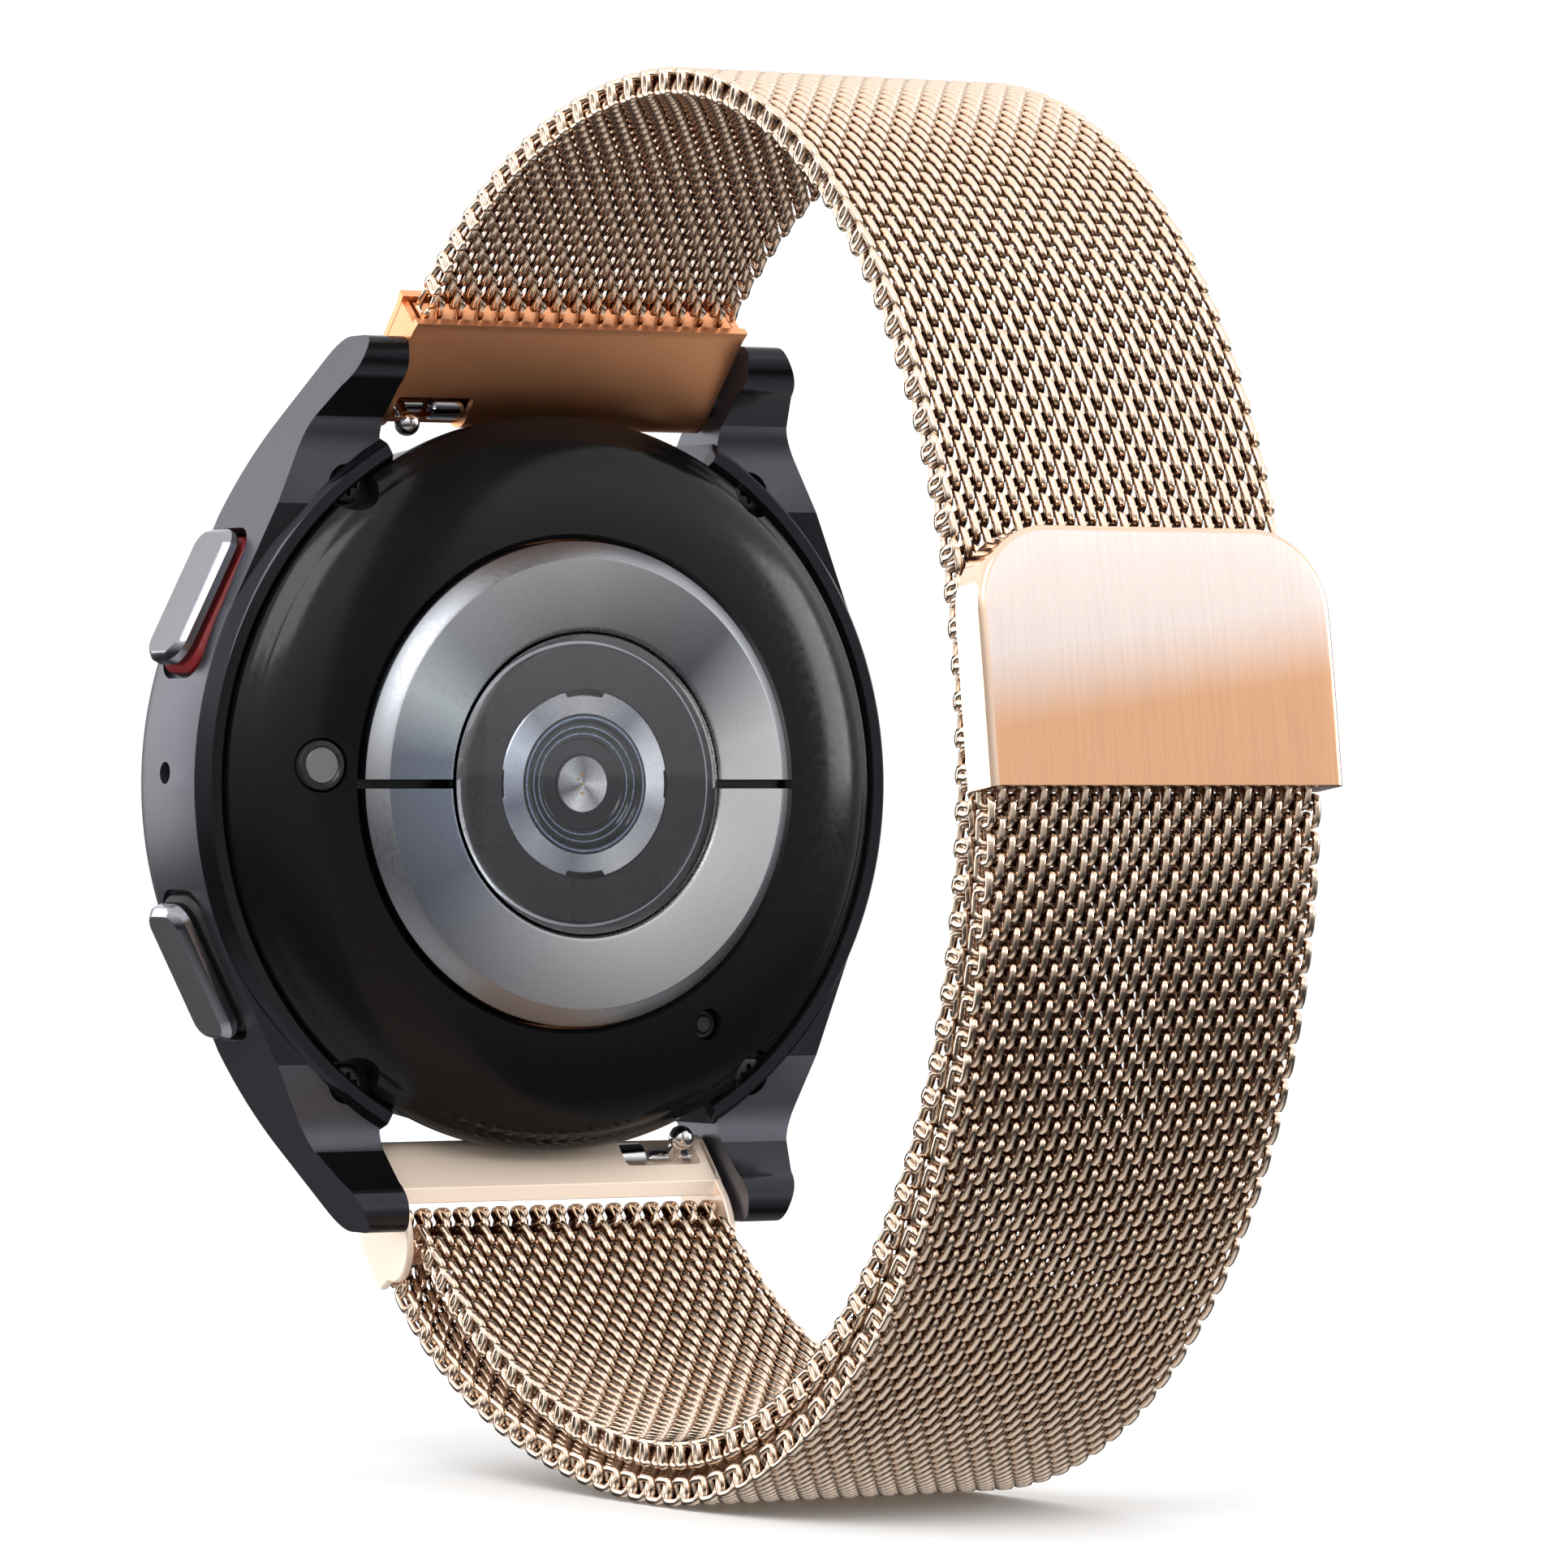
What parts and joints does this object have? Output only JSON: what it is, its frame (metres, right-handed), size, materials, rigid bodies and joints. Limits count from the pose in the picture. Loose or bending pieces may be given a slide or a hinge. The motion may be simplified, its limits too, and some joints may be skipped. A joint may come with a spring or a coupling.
{
  "type": "smartwatch",
  "caption": "Round smartwatch with side buttons and rear heart-rate sensor, on a woven steel loop strap with folded lower end and magnetic clasp.",
  "frame": {"origin": "centre of the rear sensor window's flat outer face, where the watch rests on the wrist", "axes": "+Y out of the back of the watch towards the wrist, +Z towards 12 o'clock and up, +X towards the buttons at 3 o'clock"},
  "size_m": [0.0438, 0.0694, 0.0738],
  "materials": {
    "graphite_case": "satin anodised graphite",
    "black_cover": "high gloss black",
    "front_glass": "polished",
    "sensor_glass": "polished",
    "sensor_metal": "metallised",
    "rose_steel": "polished rose-gold plated steel",
    "polished_steel": "polished",
    "red_seal": "matt red",
    "black_seal": "matt black",
    "circuit_board": "solder mask",
    "cell_foil": "satin foil",
    "dark_plastic": "moulded",
    "copper_winding": "enamelled copper",
    "magnet": "nickel plated"
  },
  "bodies": {
    "watch_head": {"case_frame": "graphite_case", "display_glass": "front_glass", "display_panel": "dark_plastic", "main_board": "circuit_board", "battery": "cell_foil", "inner_bracket": "dark_plastic", "haptic_motor": "polished_steel", "speaker_module": "dark_plastic", "microphone": "polished_steel", "charging_coil": "copper_winding", "rear_gasket": "black_seal", "rear_cover": "black_cover", "rear_screw_1": "polished_steel", "rear_screw_2": "polished_steel", "rear_screw_3": "polished_steel", "rear_screw_4": "polished_steel", "sensor_board": "dark_plastic", "electrode_upper": "sensor_metal", "electrode_lower": "sensor_metal", "sensor_window": "sensor_glass", "light_ring": "sensor_metal", "optical_core": "dark_plastic", "temperature_sensor": "polished_steel", "upper_button_seal": "red_seal", "upper_button_switch": "polished_steel", "lower_button_seal": "black_seal", "lower_button_switch": "polished_steel"},
    "upper_button": {"upper_button": "graphite_case"},
    "lower_button": {"lower_button": "graphite_case"},
    "upper_end_piece": {"upper_end_clamp": "rose_steel", "strap_weld_strip": "rose_steel", "upper_bar_tube": "polished_steel", "upper_bar_fixed_pin": "polished_steel", "upper_bar_spring": "polished_steel"},
    "upper_release": {"upper_bar_release_pin": "polished_steel"},
    "strap_length_1": {"strap_01": "rose_steel"},
    "strap_length_2": {"strap_02": "rose_steel"},
    "strap_length_3": {"strap_03": "rose_steel"},
    "strap_length_4": {"strap_04": "rose_steel", "strap_05": "rose_steel", "strap_06": "rose_steel", "strap_07": "rose_steel"},
    "strap_length_8": {"strap_08": "rose_steel"},
    "strap_length_9": {"strap_09": "rose_steel"},
    "lower_end_piece": {"lower_end_frame": "rose_steel", "lower_bar_tube": "polished_steel", "lower_bar_fixed_pin": "polished_steel", "lower_bar_spring": "polished_steel", "tail_01": "rose_steel"},
    "lower_release": {"lower_bar_release_pin": "polished_steel"},
    "tail_length_2": {"tail_02": "rose_steel"},
    "tail_length_3": {"tail_03": "rose_steel"},
    "tail_length_4": {"tail_04": "rose_steel"},
    "tail_length_5": {"tail_05": "rose_steel"},
    "tail_length_6": {"tail_06": "rose_steel"},
    "clasp": {"clasp_shell": "rose_steel", "clasp_liner": "rose_steel", "clasp_magnet": "magnet", "clasp_crimp_bar": "rose_steel"}
  },
  "joints": [
    {"name": "upper_button_press", "type": "slide", "parent": "watch_head", "child": "upper_button", "axis": [-0.891, 0, -0.454], "range_m": [0, 0.0003], "stiffness_N_per_m": 2500, "springref_m": -0.0004},
    {"name": "lower_button_press", "type": "slide", "parent": "watch_head", "child": "lower_button", "axis": [-0.891, 0, 0.454], "range_m": [0, 0.0003], "stiffness_N_per_m": 2500, "springref_m": -0.0004},
    {"name": "upper_end_swing", "type": "hinge", "parent": "watch_head", "child": "upper_end_piece", "pos_m": [0, -0.0063, 0.0207], "axis": [1, 0, 0], "range_deg": [-3, 3]},
    {"name": "upper_pin_release", "type": "slide", "parent": "upper_end_piece", "child": "upper_release", "axis": [-1, 0, 0], "range_m": [0, 0.00115], "stiffness_N_per_m": 400, "springref_m": -0.001, "deforming": ["upper_bar_spring"]},
    {"name": "strap_bend_1", "type": "hinge", "parent": "upper_end_piece", "child": "strap_length_1", "pos_m": [0, -0.0018, 0.02553], "axis": [1, 0, 0], "range_deg": [-1.07, 1.07]},
    {"name": "strap_bend_2", "type": "hinge", "parent": "strap_length_1", "child": "strap_length_2", "pos_m": [0, 0.01182, 0.03404], "axis": [1, 0, 0], "range_deg": [-0.89, 0.89]},
    {"name": "strap_bend_3", "type": "hinge", "parent": "strap_length_2", "child": "strap_length_3", "pos_m": [0, 0.02778, 0.03562], "axis": [1, 0, 0], "range_deg": [-0.49, 0.49]},
    {"name": "strap_bend_4", "type": "hinge", "parent": "strap_length_3", "child": "strap_length_4", "pos_m": [0, 0.04191, 0.02819], "axis": [1, 0, 0], "range_deg": [-0.142, 0.142]},
    {"name": "strap_bend_5", "type": "hinge", "parent": "strap_length_4", "child": "strap_length_8", "pos_m": [0, 0.02577, -0.0343], "axis": [1, 0, 0], "range_deg": [-1.01, 1.01]},
    {"name": "strap_bend_6", "type": "hinge", "parent": "strap_length_8", "child": "strap_length_9", "pos_m": [0, 0.00989, -0.03188], "axis": [1, 0, 0], "range_deg": [-0.53, 0.53]},
    {"name": "lower_end_swing", "type": "hinge", "parent": "watch_head", "child": "lower_end_piece", "pos_m": [0, -0.0063, -0.0207], "axis": [1, 0, 0], "range_deg": [-0.233, 0.233]},
    {"name": "lower_pin_release", "type": "slide", "parent": "lower_end_piece", "child": "lower_release", "axis": [1, 0, 0], "range_m": [0, 0.00115], "stiffness_N_per_m": 400, "springref_m": -0.001, "deforming": ["lower_bar_spring"]},
    {"name": "tail_bend_1", "type": "hinge", "parent": "lower_end_piece", "child": "tail_length_2", "pos_m": [0, -0.00337, -0.02798], "axis": [1, 0, 0], "range_deg": [-2.1, 2.1]},
    {"name": "tail_bend_2", "type": "hinge", "parent": "tail_length_2", "child": "tail_length_3", "pos_m": [0, 0.00941, -0.03436], "axis": [1, 0, 0], "range_deg": [-0.53, 0.53]},
    {"name": "tail_bend_3", "type": "hinge", "parent": "tail_length_3", "child": "tail_length_4", "pos_m": [0, 0.02544, -0.03618], "axis": [1, 0, 0], "range_deg": [-1.01, 1.01]},
    {"name": "tail_peel", "type": "hinge", "parent": "tail_length_4", "child": "tail_length_5", "pos_m": [0, 0.04088, -0.03121], "axis": [-1, 0, 0], "range_deg": [0, 45]},
    {"name": "tail_peel_2", "type": "hinge", "parent": "tail_length_5", "child": "tail_length_6", "pos_m": [0, 0.0514, -0.01859], "axis": [-1, 0, 0], "range_deg": [0, 45]},
    {"name": "clasp_lift", "type": "hinge", "parent": "tail_length_6", "child": "clasp", "pos_m": [0, 0.05574, -0.00091], "axis": [-1, 0, 0], "range_deg": [0, 45]}
  ],
  "couplings": [
    {"joint": "strap_bend_1", "follows": "upper_end_swing", "ratio": -0.3408},
    {"joint": "strap_bend_2", "follows": "upper_end_swing", "ratio": -0.2782},
    {"joint": "strap_bend_3", "follows": "upper_end_swing", "ratio": -0.1467},
    {"joint": "strap_bend_4", "follows": "upper_end_swing", "ratio": 0.0308},
    {"joint": "strap_bend_5", "follows": "upper_end_swing", "ratio": 0.3193},
    {"joint": "strap_bend_6", "follows": "upper_end_swing", "ratio": 0.1608},
    {"joint": "lower_end_swing", "follows": "upper_end_swing", "ratio": 0.061},
    {"joint": "tail_bend_1", "follows": "upper_end_swing", "ratio": 0.6842},
    {"joint": "tail_bend_2", "follows": "upper_end_swing", "ratio": -0.1608},
    {"joint": "tail_bend_3", "follows": "upper_end_swing", "ratio": -0.3193},
    {"joint": "tail_peel_2", "follows": "tail_peel", "ratio": 0.75},
    {"joint": "clasp_lift", "follows": "tail_peel", "ratio": 0.5}
  ]
}
